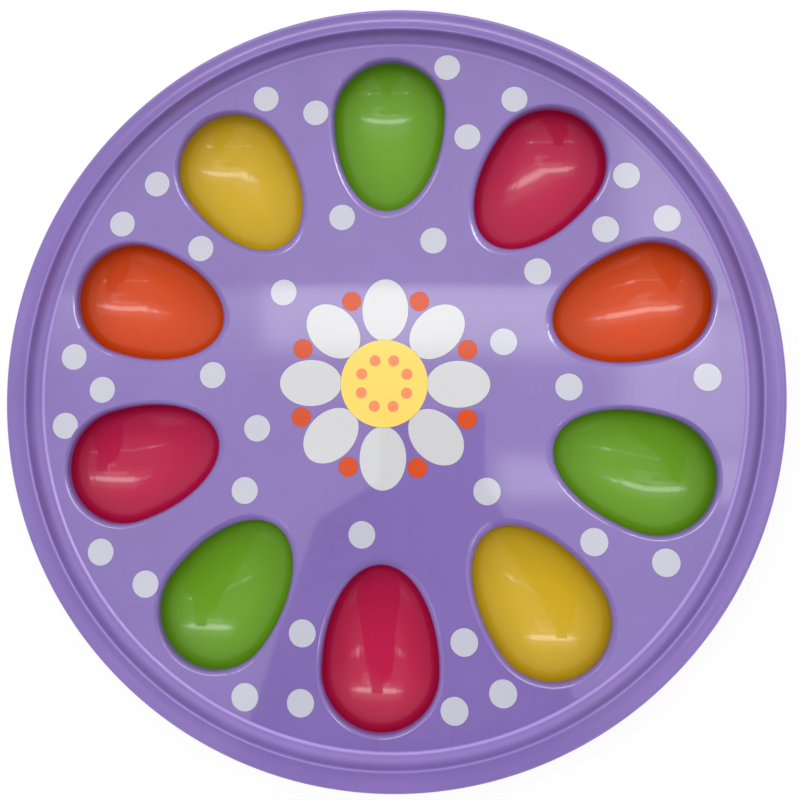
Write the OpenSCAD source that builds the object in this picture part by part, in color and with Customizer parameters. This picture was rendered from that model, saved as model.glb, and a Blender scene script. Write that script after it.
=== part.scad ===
// Round egg tray: a moulded tray with a raised rim and ten egg-shaped wells,
// coloured linings in the wells, polka dots and a flower set flush in the field

/* [Tray] */
// Outer diameter of the tray
tray_d = 280; // [270:2:320]
// Thickness of the moulding
wall_t = 3; // [2.6:0.1:3.4]

/* [Rim] */
// Width from the edge of the flat field to the outer edge
rim_w = 11; // [10:0.5:14]
// Height of the rim's crest over the field
rim_h = 6.6; // [5.4:0.2:9]
// How far the rim's inner wall leans outwards over its height
rim_lean = 3.4; // [2.4:0.2:4.2]
// Depth of the shallow valley behind the crest
valley_h = 0.9; // [0.5:0.1:1.3]
// Height of the outer lip over the valley
lip_rise = 0.3; // [0.1:0.1:0.5]
// Radius where the field turns up into the rim
rim_root_r = 2; // [1:0.25:2.5]
// Radius over the crest
crest_r = 1.2; // [0.6:0.1:1.5]
// Radius in the valley
valley_r = 4; // [2:0.5:5]
// Radius over the outer edge
edge_r = 1.5; // [0.8:0.1:1.5]
// Radius under the outer edge
under_r = 0.8; // [0.3:0.1:0.9]

/* [Wells] */
// Length of a well at the top of its lining
well_l = 58; // [54:1:60]
// Width of a well at the top of its lining
well_w = 42; // [38:1:43]
// Depth of a well under the field
well_h = 13; // [10:0.5:16]
// Radius of the rounded lip round a well
lip_r = 1.7; // [1:0.1:2]
// Flat margin between the wells' lips and the rim's root
well_margin = 2.6; // [2:0.2:5]

/* [Colour layers] */
// Thickness of the coloured layers
layer_t = 0.5; // [0.3:0.1:0.8]
// Gap at the edges of the coloured layers
layer_gap = 0.05; // [0.02:0.01:0.1]
// Diameter of a dot
dot_d = 9.8; // [7:0.2:11]

/* [Flower] */
// Radius of the circle through the tips of the petals
flower_r = 38; // [36:1:40]
// Radius of the flower's middle
middle_r = 16; // [13:0.5:18]
// Width of a petal
petal_w = 17; // [14:0.5:18]
// Radius of the leaves between the petals
leaf_r = 3.6; // [2.5:0.1:3.8]
// Radius of the spots in the flower's middle
spot_r = 2; // [1.5:0.1:2.5]

/* [Foot] */
// Distance from the foot ring to the wells' undersides
foot_inset = 2.5; // [2:0.5:8]
// Width of the foot ring
foot_w = 3.6; // [3:0.2:6]
// Height of the wells' undersides over the table
foot_gap = 1.5; // [1:0.25:4]
// Radius under the edges of the foot ring
foot_edge_r = 0.8; // [0.3:0.1:1.2]

/* [Hidden] */
$fn = 96;

// How far cuts run past the faces that they open
overrun = 1;

// Clockwise from the top well
WELL_COLOURS = [
    "yellowgreen", "mediumvioletred", "orangered", "yellowgreen", "goldenrod",
    "mediumvioletred", "yellowgreen", "mediumvioletred", "orangered", "goldenrod"
];
WELLS = len(WELL_COLOURS);

tray_r = tray_d / 2;
field_r = tray_r - rim_w;
field_h = well_h + wall_t + foot_gap;

// A well is half a circle towards the rim and half an ellipse towards the middle
big_r = well_w / 2;
tip_l = well_l - big_r;
bowl_h = well_h - lip_r;
well_at = field_r - rim_root_r - well_margin - lip_r - big_r;
// Share of the bowl's height that the radius of its side takes
side_share = 0.7;

PETALS = 8;
petal_l = flower_r - middle_r;
// Radii of the rings of leaves and spots as shares of the flower's and its middle's radius
leaf_ring_share = 0.86;
spot_ring_share = 0.56;

// Places of the dots as shares of the field's radius: right and up from the middle
dot_shares = [
    [0.335, 0.12], [-0.36, -0.13], [-0.295, 0.26], [0.29, -0.295], [-0.055, -0.42], [0.135, 0.41],
    [-0.39, -0.305], [-0.495, 0.02], [-0.13, 0.48], [0.515, -0.005], [0.43, 0.32], [-0.545, 0.39],
    [0.58, -0.425], [-0.215, -0.69], [0.23, -0.7], [0.23, 0.715], [0.62, 0.44], [-0.82, -0.025],
    [-0.215, 0.795], [-0.665, -0.57], [0.89, 0.025], [0.335, -0.83], [-0.685, 0.585], [0.68, 0.595],
    [-0.215, -0.875], [0.365, 0.825], [0.205, -0.88], [0.77, -0.475], [-0.785, 0.465], [-0.91, 0.07],
    [-0.365, 0.84], [0.79, 0.47], [-0.925, -0.13], [-0.8, -0.485], [0.17, 0.925], [-0.37, -0.865]
];

function unit(v) = v / norm(v);
function at(list, i) = list[(i + len(list)) % len(list)];
function point(corner) = [corner.x, corner.y];
function turn(a, b, c) = sign(cross(b - a, c - b));

// The piece of a corner that lies outside the arc touching both its edges
module corner_piece(before, here, after, r) {
    u = unit(before - here);
    v = unit(after - here);
    half = acos(u * v) / 2;
    centre = here + unit(u + v) * r / sin(half);
    difference() {
        polygon([here, here + u * r / tan(half), centre, here + v * r / tan(half)]);
        translate(centre) circle(r);
    }
}

// A polygon with rounded corners, each [x, y, radius], counter-clockwise
module rounded_outline(corners) {
    module corner_pieces(side) {
        for (i = [0:len(corners) - 1]) {
            before = point(at(corners, i - 1));
            here = point(corners[i]);
            after = point(at(corners, i + 1));
            if (corners[i].z > 0 && turn(before, here, after) == side)
                corner_piece(before, here, after, corners[i].z);
        }
    }
    difference() {
        union() {
            polygon([for (c = corners) point(c)]);
            corner_pieces(-1);
        }
        corner_pieces(1);
    }
}

module at_well(i) {
    rotate(-i * 360 / WELLS) translate([0, well_at, field_h]) children();
}

// Turns a section into an egg: a half turn, and its mirror image stretched to the tip
module egg_turn(stretch) {
    rotate_extrude(angle = 180) children();
    scale([1, stretch, 1]) rotate_extrude(start = 180, angle = 180) children();
}

// Corners of the bowl from its middle to the foot of the lip, where the floor's
// arc runs into the side's arc
function bowl_corners(wide, deep) =
    let (
        side_r = side_share * deep,
        floor_r = ((wide - side_r) ^ 2 + deep ^ 2 - side_r ^ 2) / (2 * (deep - side_r)),
        lean = atan2(floor_r - deep, wide - side_r)
    ) [
        [0, -lip_r - deep, 0],
        [floor_r * tan(45 - lean / 2), -lip_r - deep, floor_r],
        [wide, -lip_r - side_r * tan(lean / 2), side_r]
    ];

// Section of a well, with room for a lining under its lip
module well_section(wide, room) {
    rounded_outline(concat(
        bowl_corners(wide + room, bowl_h + room),
        room > 0 ? [[wide + room, -lip_r, 0], [wide, -lip_r, 0]] : [],
        [
            [wide, 0, lip_r],
            [wide + lip_r, 0, 0],
            [wide + lip_r, overrun, 0],
            [0, overrun, 0]
        ]
    ));
}

module bowl_section(room) {
    rounded_outline(concat(
        bowl_corners(big_r + room, bowl_h + room),
        [[big_r + room, -lip_r, 0], [0, -lip_r, 0]]
    ));
}

module well_cut() {
    egg_turn(tip_l / big_r) well_section(big_r, layer_t);
}

module well_underside() {
    translate([0, 0, -wall_t])
        egg_turn((tip_l + wall_t) / (big_r + wall_t)) well_section(big_r + wall_t, 0);
}

module plate() {
    lean = rim_lean / rim_h;
    across = wall_t * norm([1, lean]);
    lip_h = rim_h - valley_h + lip_rise;
    under_h = lip_h - wall_t;
    foot_r = well_at - tip_l - wall_t - lip_r * tip_l / big_r - foot_inset;
    rotate_extrude()
        translate([0, field_h])
            rounded_outline([
                [0, -wall_t, 0],
                [foot_r - foot_w, -wall_t, rim_root_r],
                [foot_r - foot_w, -field_h, foot_edge_r],
                [foot_r, -field_h, foot_edge_r],
                [foot_r, -wall_t, rim_root_r],
                [field_r + across - wall_t * lean, -wall_t, rim_root_r],
                [field_r + across + under_h * lean, under_h, rim_root_r],
                [tray_r, under_h, under_r],
                [tray_r, lip_h, edge_r],
                [tray_r - (rim_w - rim_lean) / 2, rim_h - valley_h, valley_r],
                [field_r + rim_lean, rim_h, crest_r],
                [field_r, 0, rim_root_r],
                [0, 0, 0]
            ]);
}

// A flat shape set flush into the field, and the pocket that holds it
module inlay() {
    translate([0, 0, field_h - layer_t]) linear_extrude(layer_t) children();
}

module pocket() {
    translate([0, 0, field_h - layer_t]) linear_extrude(layer_t + overrun) children();
}

module lip_outline() {
    wide = big_r + lip_r;
    difference() {
        circle(wide);
        translate([-wide, -2 * wide]) square(2 * wide);
    }
    scale([1, tip_l / big_r]) difference() {
        circle(wide);
        translate([-wide, 0]) square(2 * wide);
    }
}

module dots_outline(gap) {
    difference() {
        for (place = dot_shares) translate(place * field_r) circle(dot_d / 2 - gap);
        for (i = [0:WELLS - 1]) rotate(-i * 360 / WELLS) translate([0, well_at]) lip_outline();
    }
}

module petals_outline(gap) {
    difference() {
        for (i = [0:PETALS - 1])
            rotate(i * 360 / PETALS)
                translate([0, middle_r + petal_l / 2])
                    scale([petal_w / 2 - gap, petal_l / 2 + layer_t - gap]) circle(1);
        circle(middle_r + gap);
    }
}

module leaves_outline(gap) {
    for (i = [0:PETALS - 1])
        rotate((i + 0.5) * 360 / PETALS)
            translate([0, flower_r * leaf_ring_share]) circle(leaf_r - gap);
}

module spots_outline(gap) {
    for (i = [0:PETALS - 1])
        rotate((i + 0.5) * 360 / PETALS)
            translate([0, middle_r * spot_ring_share]) circle(spot_r - gap);
}

module tray_body() {
    color("mediumpurple") difference() {
        union() {
            plate();
            for (i = [0:WELLS - 1]) at_well(i) well_underside();
        }
        for (i = [0:WELLS - 1]) at_well(i) well_cut();
        pocket() dots_outline(0);
        pocket() leaves_outline(0);
        pocket() petals_outline(0);
        pocket() circle(middle_r);
    }
}

module lining(i) {
    color(WELL_COLOURS[i])
        at_well(i)
            egg_turn(tip_l / big_r)
                difference() {
                    bowl_section(layer_t - layer_gap);
                    bowl_section(0);
                }
}

module polka_dots() {
    color("ghostwhite") inlay() dots_outline(layer_gap);
}

module flower_petals() {
    color("white") inlay() petals_outline(layer_gap);
}

module flower_middle() {
    color("khaki") inlay() difference() {
        circle(middle_r - layer_gap);
        spots_outline(0);
    }
}

module flower_spots() {
    color("salmon") inlay() spots_outline(layer_gap);
}

module flower_leaves() {
    color("orangered") inlay() leaves_outline(layer_gap);
}

tray_body();
lining(0);  // lining_1_green
lining(1);  // lining_2_magenta
lining(2);  // lining_3_orange
lining(3);  // lining_4_green
lining(4);  // lining_5_yellow
lining(5);  // lining_6_magenta
lining(6);  // lining_7_green
lining(7);  // lining_8_magenta
lining(8);  // lining_9_orange
lining(9);  // lining_10_yellow
polka_dots();
flower_petals();
flower_middle();
flower_spots();
flower_leaves();
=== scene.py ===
"""Round egg tray: its finish, light and camera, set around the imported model."""

import math

import bmesh
import bpy
from mathutils import Euler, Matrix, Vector


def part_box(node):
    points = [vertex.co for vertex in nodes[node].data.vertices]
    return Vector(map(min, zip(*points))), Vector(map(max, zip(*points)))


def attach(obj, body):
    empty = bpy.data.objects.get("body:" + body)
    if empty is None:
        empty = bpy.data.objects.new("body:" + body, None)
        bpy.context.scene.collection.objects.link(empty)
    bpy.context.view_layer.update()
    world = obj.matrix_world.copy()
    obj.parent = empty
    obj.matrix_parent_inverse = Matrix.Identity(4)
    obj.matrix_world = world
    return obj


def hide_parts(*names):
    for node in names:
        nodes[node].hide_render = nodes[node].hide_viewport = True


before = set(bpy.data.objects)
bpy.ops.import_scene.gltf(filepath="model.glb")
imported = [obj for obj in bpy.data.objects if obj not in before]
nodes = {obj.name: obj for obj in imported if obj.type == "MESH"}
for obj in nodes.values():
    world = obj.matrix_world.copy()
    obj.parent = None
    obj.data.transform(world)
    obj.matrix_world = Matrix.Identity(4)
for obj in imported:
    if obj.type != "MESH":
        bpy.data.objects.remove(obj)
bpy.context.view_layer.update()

MM = 0.001
scene = bpy.context.scene

# Height of the flat field, from the frame
field_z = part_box("polka_dots")[1].z

# Colours, in linear light
PURPLE = (0.195, 0.124, 0.392)
RIM_PURPLE = (0.208, 0.132, 0.405)
# Colour of the rim's painted highlights and painted light
RIM_PAINTED_LIGHT_COLOUR = (0.56, 0.42, 0.92)
GREEN = (0.125, 0.305, 0.009)
MAGENTA = (0.44, 0.004, 0.054)
ORANGE = (0.60, 0.057, 0.003)
YELLOW = (0.56, 0.36, 0.010)
WHITE = (0.50, 0.505, 0.585)
PETAL_WHITE = (0.57, 0.57, 0.59)
PALE_YELLOW = (0.86, 0.62, 0.12)
CORAL = (0.88, 0.24, 0.11)
LEAF_ORANGE = (0.60, 0.065, 0.006)


def shaded(colour, factor=1.0):
    return tuple(min(1.0, c * factor) for c in colour) + (1.0,)


class Nodes:
    """A short way to add and join nodes in one tree."""

    def __init__(self, tree):
        self.tree = tree
        tree.nodes.clear()

    def add(self, kind, **settings):
        node = self.tree.nodes.new(kind)
        for name, value in settings.items():
            setattr(node, name, value)
        return node

    def join(self, source, target):
        self.tree.links.new(source, target)

    def feed(self, socket, value):
        if isinstance(value, bpy.types.NodeSocket):
            self.join(value, socket)
        else:
            socket.default_value = value

    def maths(self, operation, *values):
        node = self.add("ShaderNodeMath", operation=operation)
        for socket, value in zip(node.inputs, values):
            self.feed(socket, value)
        return node.outputs[0]

    def vector_maths(self, operation, *values):
        node = self.add("ShaderNodeVectorMath", operation=operation)
        for socket, value in zip(node.inputs, values):
            self.feed(socket, value)
        return node.outputs["Value" if operation == "LENGTH" else "Vector"]

    def axes(self, vector):
        node = self.add("ShaderNodeSeparateXYZ")
        self.join(vector, node.inputs[0])
        return node.outputs

    def noise(self, vector, scale, detail, roughness=0.5):
        node = self.add("ShaderNodeTexNoise")
        self.join(vector, node.inputs["Vector"])
        node.inputs["Scale"].default_value = scale
        node.inputs["Detail"].default_value = detail
        node.inputs["Roughness"].default_value = roughness
        return node.outputs["Fac"]

    def span(self, value, low, high, to_low=0.0, to_high=1.0, smooth=False):
        node = self.add("ShaderNodeMapRange")
        node.interpolation_type = "SMOOTHSTEP" if smooth else "LINEAR"
        ends = {"From Min": low, "From Max": high, "To Min": to_low, "To Max": to_high}
        for name, number in ends.items():
            node.inputs[name].default_value = number
        self.join(value, node.inputs["Value"])
        return node.outputs["Result"]

    def blend(self, factor, first, second):
        node = self.add("ShaderNodeMix", data_type="RGBA")
        self.feed(node.inputs["Factor"], factor)
        colours = [s for s in node.inputs if s.type == "RGBA"]
        self.feed(colours[0], first)
        self.feed(colours[1], second)
        return next(s for s in node.outputs if s.type == "RGBA")

    def show(self, surface, kind="ShaderNodeOutputMaterial"):
        self.join(surface, self.add(kind).inputs["Surface"])


def new_material(name):
    material = bpy.data.materials.new(name)
    material.use_nodes = True
    return material, Nodes(material.node_tree)


def add_object(name, data):
    thing = bpy.data.objects.new(name, data)
    scene.collection.objects.link(thing)
    return thing


# Cloudy pigment with a fine grain
CLOUDS_PER_M = 34.0
CLOUD_DETAIL = 3.0
GRAIN_PER_M = 900.0
GRAIN_DETAIL = 1.0
NOISE_LOW = 0.3
NOISE_HIGH = 0.7
SPECKLE_SHARE = 0.12
SPECKLE_LIFT = 3

# Faint waves in the surface
WAVES_PER_M = 75.0
WAVE_DETAIL = 2.0
WAVE_HEIGHT = 0.02 * MM

# Fine wipe marks: how they lie, and how far they change the roughness
WIPES_PER_M = 260.0
WIPE_DETAIL = 4.0
WIPE_MIX = 0.65
WIPE_STRETCH = 0.12
WIPE_TURN = math.radians(28)
WIPE_LOW = 0.35
WIPE_HIGH = 0.75
ROUGHNESS = 0.32
SMOOTHER = 0.85
ROUGHER = 1.25

# The body under the clear coat
BODY_IOR = 1.5
BODY_SHINE = 0.12

# The field's slight warp towards +Y, seen only in how it mirrors the lights: where it
# starts, the turn there, and how fast it turns from there on
WARP_FROM = 30 * MM
WARP_TURN = 0.036
WARP_TURN_WIDTH = 8 * MM
WARP_CURVE_PER_M = 1.54

# Painted highlights at the rim's root, crest and edge, and painted light on its shaded inner wall:
# radius, width, share
RIM_PAINTED_LIGHT = (
    (128.55 * MM, 0.80 * MM, 0.50),
    (130.30 * MM, 1.70 * MM, 0.30),
    (132.55 * MM, 0.50 * MM, 0.20),
    (139.70 * MM, 0.70 * MM, 0.10),
)

# The linings' colour stops this far under the field, and over that the tray's own shows
PRINT_TOP = 3.0 * MM
PRINT_FADE = 0.12 * MM

# Painted shade: the linings' colour darkens up a well's sides, where less light falls, from and to
# this far under the field
PAINTED_SHADE_FROM = 12.0 * MM
PAINTED_SHADE_TO = 3.5 * MM
PAINTED_SHADE_FACTOR = 0.60


def cloudy(n, place, colour, cloud):
    clouds = n.span(n.noise(place, CLOUDS_PER_M, CLOUD_DETAIL), NOISE_LOW, NOISE_HIGH)
    grain = n.span(n.noise(place, GRAIN_PER_M, GRAIN_DETAIL), NOISE_LOW, NOISE_HIGH)
    pigment = n.blend(clouds, shaded(colour, 1 - cloud), shaded(colour, 1 + cloud))
    speckle = n.maths("MULTIPLY", grain, SPECKLE_SHARE)
    return n.blend(speckle, pigment, shaded(colour, 1 + SPECKLE_LIFT * cloud))


# Painted shade, darker up a well's sides; then the print's edge, over which the given edge colour
# shows
def painted_shade_and_print_edge(n, place, pigment, colour, edge):
    height = n.axes(place)["Z"]
    up = n.span(height, field_z - PAINTED_SHADE_FROM, field_z - PAINTED_SHADE_TO)
    pigment = n.blend(up, pigment, shaded(colour, PAINTED_SHADE_FACTOR))
    line = field_z - PRINT_TOP
    over = n.span(height, line - PRINT_FADE, line + PRINT_FADE, smooth=True)
    return n.blend(over, pigment, shaded(edge))


def with_painted_rim_light(n, place, pigment):
    # Painted highlights and painted light: lighter rings about the middle, at the rim's root, wall,
    # crest and edge
    radius = n.vector_maths("LENGTH", n.vector_maths("MULTIPLY", place, (1.0, 1.0, 0.0)))
    for line_r, line_w, share in RIM_PAINTED_LIGHT:
        off = n.maths("ABSOLUTE", n.maths("SUBTRACT", radius, line_r))
        near = n.span(off, 0.0, line_w, share, 0.0, smooth=True)
        pigment = n.blend(near, pigment, shaded(RIM_PAINTED_LIGHT_COLOUR))
    return pigment


def wiped(n, place):
    stretch = n.add("ShaderNodeMapping")
    stretch.inputs["Scale"].default_value = (1.0, WIPE_STRETCH, 1.0)
    stretch.inputs["Rotation"].default_value = (0.0, 0.0, WIPE_TURN)
    n.join(place, stretch.inputs["Vector"])
    wipes = n.noise(stretch.outputs["Vector"], WIPES_PER_M, WIPE_DETAIL, WIPE_MIX)
    return n.span(wipes, WIPE_LOW, WIPE_HIGH, ROUGHNESS * SMOOTHER, ROUGHNESS * ROUGHER)


def warp_height(n, place):
    past = n.maths("MAXIMUM", n.maths("SUBTRACT", n.axes(place)["Y"], WARP_FROM), 0.0)
    curve = n.maths("MULTIPLY", n.maths("MULTIPLY", past, past), WARP_CURVE_PER_M / 2)
    turning = n.maths("MINIMUM", past, WARP_TURN_WIDTH)
    turned = n.maths("SUBTRACT", past, n.maths("MULTIPLY", turning, 0.5))
    turn = n.maths("MULTIPLY", turning, n.maths("MULTIPLY", turned, WARP_TURN / WARP_TURN_WIDTH))
    return n.maths("ADD", curve, turn)


def glazed(name, colour, cloud=0.05, coat=0.45, coat_ior=1.5, coat_roughness=0.045,
           warped=False, painted_rim_light=False, edge=None):
    material, n = new_material(name)
    place = n.add("ShaderNodeTexCoord").outputs["Object"]
    pigment = cloudy(n, place, colour, cloud)
    if edge:
        # Painted shade up the linings' sides, and their print edge
        pigment = painted_shade_and_print_edge(n, place, pigment, colour, edge)
    # Painted highlights and painted light along the rim
    if painted_rim_light:
        pigment = with_painted_rim_light(n, place, pigment)
    height = n.maths("MULTIPLY", n.noise(place, WAVES_PER_M, WAVE_DETAIL), WAVE_HEIGHT)
    if warped:
        height = n.maths("ADD", height, warp_height(n, place))
    bump = n.add("ShaderNodeBump")
    bump.inputs["Strength"].default_value = 1.0
    bump.inputs["Distance"].default_value = 1.0
    n.join(height, bump.inputs["Height"])
    shader = n.add("ShaderNodeBsdfPrincipled")
    n.join(pigment, shader.inputs["Base Color"])
    n.join(wiped(n, place), shader.inputs["Roughness"])
    n.join(bump.outputs["Normal"], shader.inputs["Normal"])
    n.join(bump.outputs["Normal"], shader.inputs["Coat Normal"])
    shader.inputs["IOR"].default_value = BODY_IOR
    shader.inputs["Specular IOR Level"].default_value = BODY_SHINE
    shader.inputs["Coat Weight"].default_value = coat
    shader.inputs["Coat Roughness"].default_value = coat_roughness
    shader.inputs["Coat IOR"].default_value = coat_ior
    n.show(shader.outputs["BSDF"])
    return material


def dress(node, material):
    piece = nodes[node]
    piece.data.materials.clear()
    piece.data.materials.append(material)


FIELD_COAT = {"coat": 1.0, "coat_ior": 1.64, "warped": True}
RIM_COAT = {"coat": 0.55, "coat_roughness": 0.13, "warped": True}
# Both purples carry the rim's painted highlights and painted light
purple = glazed("tray_purple", PURPLE, painted_rim_light=True, **FIELD_COAT)
rim_purple = glazed("rim_purple", RIM_PURPLE, painted_rim_light=True, **RIM_COAT)
linings = {
    "green": glazed("lining_green", GREEN, edge=PURPLE),
    "magenta": glazed("lining_magenta", MAGENTA, edge=PURPLE),
    "orange": glazed("lining_orange", ORANGE, edge=PURPLE),
    "yellow": glazed("lining_yellow", YELLOW, edge=PURPLE),
}
for name in nodes:
    if name.startswith("lining_"):
        dress(name, linings[name.split("_")[-1]])
dress("polka_dots", glazed("dot_white", WHITE, cloud=0.02, **FIELD_COAT))
dress("flower_petals", glazed("petal_white", PETAL_WHITE, cloud=0.02, **FIELD_COAT))
dress("flower_middle", glazed("middle_yellow", PALE_YELLOW, cloud=0.03))
dress("flower_spots", glazed("spot_coral", CORAL, cloud=0.03))
dress("flower_leaves", glazed("leaf_orange", LEAF_ORANGE, cloud=0.03))

# The rim's upper side from the field to the outer edge: radius, and height over the field
RIM_SECTION = (
    (127.40, -0.01), (127.95, 0.00), (128.40, 0.10), (128.90, 0.38), (129.45, 0.85), (130.10, 1.60),
    (130.75, 2.65), (131.30, 3.85), (131.70, 5.00), (131.95, 5.75), (132.20, 6.20), (132.55, 6.42),
    (132.95, 6.38), (133.40, 6.18), (134.20, 5.88), (135.20, 5.66), (136.40, 5.54), (137.40, 5.56),
    (138.20, 5.66), (138.80, 5.74), (139.30, 5.72), (139.70, 5.60), (139.94, 5.38), (140.00, 5.05),
    (140.00, 4.35), (139.80, 4.15),
)
RIM_TURNS = 384

# What the section takes the place of: all over this height over the field, and what lies
# outside this radius on the inner wall's side of a line with this foot and lean
RIM_TOP_FROM = 4.45 * MM
RIM_INNER = 127.7 * MM
RIM_WALL_FOOT = 130.4 * MM
RIM_WALL_LEAN = 0.52
FIELD_SLACK = 0.05 * MM


def make_rim():
    mesh = bpy.data.meshes.new("rim")
    rows = len(RIM_SECTION)
    points, faces = [], []
    for i in range(RIM_TURNS):
        turn = 2 * math.pi * i / RIM_TURNS
        for r, h in RIM_SECTION:
            points.append((r * MM * math.cos(turn), r * MM * math.sin(turn), field_z + h * MM))
        this, after = i * rows, (i + 1) % RIM_TURNS * rows
        for k in range(rows - 1):
            faces.append((this + k + 1, after + k + 1, after + k, this + k))
    mesh.from_pydata(points, [], faces)
    mesh.polygons.foreach_set("use_smooth", [True] * len(mesh.polygons))
    mesh.materials.append(rim_purple)
    rim = add_object("rim", mesh)
    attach(rim, "root")


def under_rim_section(vertex):
    r = math.hypot(vertex.co.x, vertex.co.y)
    h = vertex.co.z - field_z
    on_wall = r > RIM_INNER and h > -FIELD_SLACK and r < RIM_WALL_FOOT + h * RIM_WALL_LEAN
    return on_wall or h > RIM_TOP_FROM


def make_tray():
    body = nodes["tray_body"]
    mesh = body.data.copy()
    edit = bmesh.new()
    edit.from_mesh(mesh)
    gone = [f for f in edit.faces if all(under_rim_section(v) for v in f.verts)]
    bmesh.ops.delete(edit, geom=gone, context="FACES")
    edit.to_mesh(mesh)
    edit.free()
    mesh.materials.clear()
    mesh.materials.append(purple)
    tray = add_object("tray", mesh)
    tray.matrix_world = body.matrix_world.copy()
    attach(tray, "root")
    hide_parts("tray_body")


# Floor: white to the camera and in reflections, with the tray's shadow on it
FLOOR_HALF = 6.0
FLOOR_ALBEDO = 0.9
FLOOR_GLOW_SHARE = 0.8


def make_floor():
    mesh = bpy.data.meshes.new("floor")
    h = FLOOR_HALF
    mesh.from_pydata([(-h, -h, 0), (h, -h, 0), (h, h, 0), (-h, h, 0)], [], [(0, 1, 2, 3)])
    floor = add_object("floor", mesh)
    material, n = new_material("floor_white")
    paths = n.add("ShaderNodeLightPath").outputs
    seen = n.maths("MAXIMUM", paths["Is Camera Ray"], paths["Is Glossy Ray"])
    seen = n.maths("MAXIMUM", seen, paths["Is Transmission Ray"])
    diffuse = n.add("ShaderNodeBsdfDiffuse")
    diffuse.inputs["Color"].default_value = (FLOOR_ALBEDO,) * 3 + (1.0,)
    glow = n.add("ShaderNodeEmission")
    mix = n.add("ShaderNodeMixShader")
    n.join(n.maths("MULTIPLY", seen, FLOOR_GLOW_SHARE), mix.inputs[0])
    n.join(diffuse.outputs[0], mix.inputs[1])
    n.join(glow.outputs[0], mix.inputs[2])
    n.show(mix.outputs[0])
    mesh.materials.append(material)


# Surroundings: level at the horizon, on the walls behind and ahead, and overhead
HORIZON = 0.6
WALL_BEHIND = 0.55
WALL_AHEAD = 1.15
OVERHEAD = 1.3

# Where these pass into each other, in the direction's forward or upward part
WALL_TURN = (-0.5, 0.5)
WALL_RISE = (0.1, 0.5)
OVERHEAD_RISE = (0.7, 0.9)
LEAST_UP = 0.05

# Soft lights overhead by direction, as tangents from straight up: left, right, low, high,
# softness of the edges, and how much brighter than the ceiling
PANELS = (
    (-0.56, 0.60, 0.12, 0.46, 0.06, 1.3),
    (-0.42, 0.46, 0.21, 0.325, 0.03, 9.0),
    (-0.62, 0.66, 0.245, 0.29, 0.04, 4.0),
    (-0.50, -0.455, 0.24, 0.30, 0.02, 9.0),
    (0.50, 0.545, 0.24, 0.30, 0.02, 9.0),
    (-0.60, 0.60, -0.365, -0.325, 0.02, 2.6),
    (0.40, 0.47, -0.375, -0.31, 0.02, 7.0),
    (-0.50, -0.44, -0.37, -0.32, 0.02, 4.0),
    (-0.95, -0.55, -1.5, -0.85, 0.08, 0.8),
    (0.55, 0.95, -1.5, -0.85, 0.08, 0.8),
    (-0.25, 0.24, 0.10, 0.17, 0.02, 2.2),
    (0.02, 0.30, -0.06, -0.015, 0.015, 2.4),
    (0.15, 0.32, -0.01, 0.14, 0.03, 2.0),
)


def between(n, value, low, high, soft):
    rises = n.span(value, low - soft, low + soft, 0.0, 1.0, smooth=True)
    falls = n.span(value, high - soft, high + soft, 1.0, 0.0, smooth=True)
    return n.maths("MULTIPLY", rises, falls)


def part_way(n, share, start, end):
    return n.maths("ADD", n.maths("MULTIPLY", share, n.maths("SUBTRACT", end, start)), start)


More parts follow.
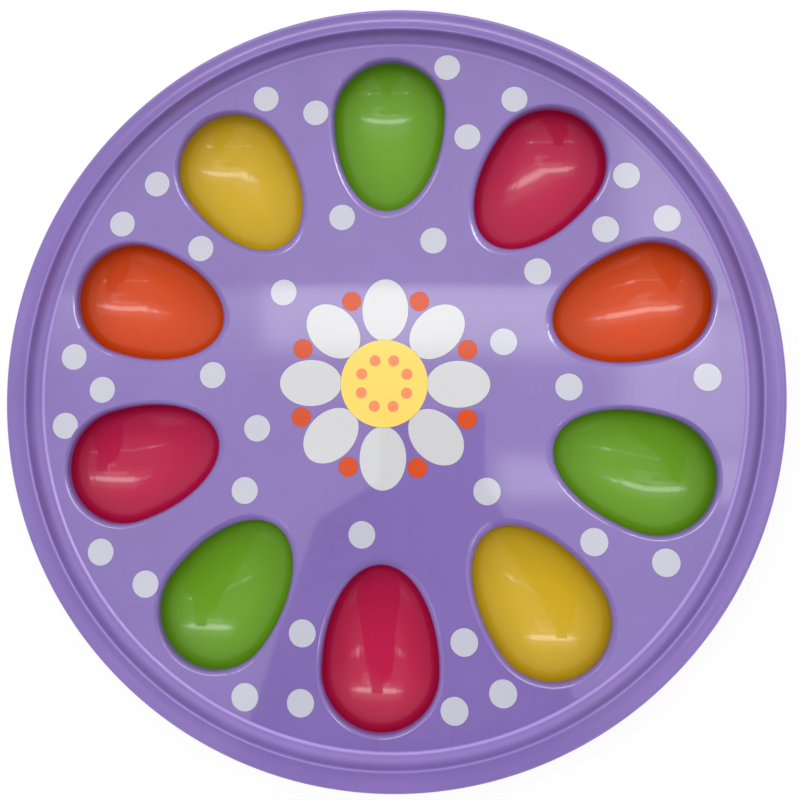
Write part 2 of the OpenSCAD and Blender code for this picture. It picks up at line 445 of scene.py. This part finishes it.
def make_world():
    world = bpy.data.worlds.new("studio")
    scene.world = world
    world.use_nodes = True
    n = Nodes(world.node_tree)
    way = n.axes(n.add("ShaderNodeTexCoord").outputs["Generated"])
    up = way["Z"]
    over = n.maths("MAXIMUM", up, LEAST_UP)
    right = n.maths("DIVIDE", way["X"], over)
    ahead = n.maths("DIVIDE", way["Y"], over)
    wall = n.span(way["Y"], *WALL_TURN, WALL_BEHIND, WALL_AHEAD, smooth=True)
    low = part_way(n, n.span(up, *WALL_RISE, smooth=True), HORIZON, wall)
    strength = part_way(n, n.span(up, *OVERHEAD_RISE, smooth=True), low, OVERHEAD)
    for left_at, right_at, low_at, high_at, soft, level in PANELS:
        across = between(n, right, left_at, right_at, soft)
        along = between(n, ahead, low_at, high_at, soft)
        share = n.maths("MULTIPLY", across, along)
        strength = n.maths("ADD", strength, n.maths("MULTIPLY", share, level))
    seen = n.add("ShaderNodeLightPath").outputs["Is Camera Ray"]
    light = n.add("ShaderNodeBackground")
    n.join(n.maths("MAXIMUM", strength, seen), light.inputs["Strength"])
    n.show(light.outputs[0], "ShaderNodeOutputWorld")


# A dark card behind the camera, seen only in reflections: left, right, ahead and up in
# millimetres from the field's middle
CARD_ROWS = (
    (-38, 38, 2, 332), (-38, 38, -50, 332), (-88, 55, -80, 360), (-124, 80, -160, 420),
    (-170, 150, -300, 450), (-160, 160, -330, 200), (-180, 180, -400, -10),
)
CARD_LEVEL = 0.12
CARD_HIDDEN_FROM = ("camera", "diffuse", "transmission", "volume_scatter", "shadow")


def over_field(right, ahead, up):
    return Vector((right, ahead, up)) * MM + Vector((0, 0, field_z))


def make_card():
    mesh = bpy.data.meshes.new("dark_card")
    points = []
    for left, right, ahead, up in CARD_ROWS:
        points += [over_field(left, ahead, up), over_field(right, ahead, up)]
    faces = [(2 * i, 2 * i + 1, 2 * i + 3, 2 * i + 2) for i in range(len(CARD_ROWS) - 1)]
    mesh.from_pydata(points, [], faces)
    card = add_object("dark_card", mesh)
    material, n = new_material("card_dark")
    glow = n.add("ShaderNodeEmission")
    glow.inputs["Strength"].default_value = CARD_LEVEL
    n.show(glow.outputs[0])
    mesh.materials.append(material)
    for ray in CARD_HIDDEN_FROM:
        setattr(card, "visible_" + ray, False)


# Camera: lens and shift, place in millimetres from the field's middle, turn in degrees
LENS = 40.5
SHIFT_X = -0.0046
SHIFT_Y = -0.0777
CAMERA_AT = (35.44, -20.72, 325.22)
CAMERA_TURN = (6.619, 4.917, 0.807)


def make_camera():
    data = bpy.data.cameras.new("camera")
    data.lens = LENS
    data.shift_x = SHIFT_X
    data.shift_y = SHIFT_Y
    camera = add_object("camera", data)
    camera.location = over_field(*CAMERA_AT)
    camera.rotation_euler = Euler([math.radians(a) for a in CAMERA_TURN])
    scene.camera = camera


make_rim()
make_tray()
make_floor()
make_world()
make_card()
make_camera()
scene.view_settings.view_transform = "Standard"
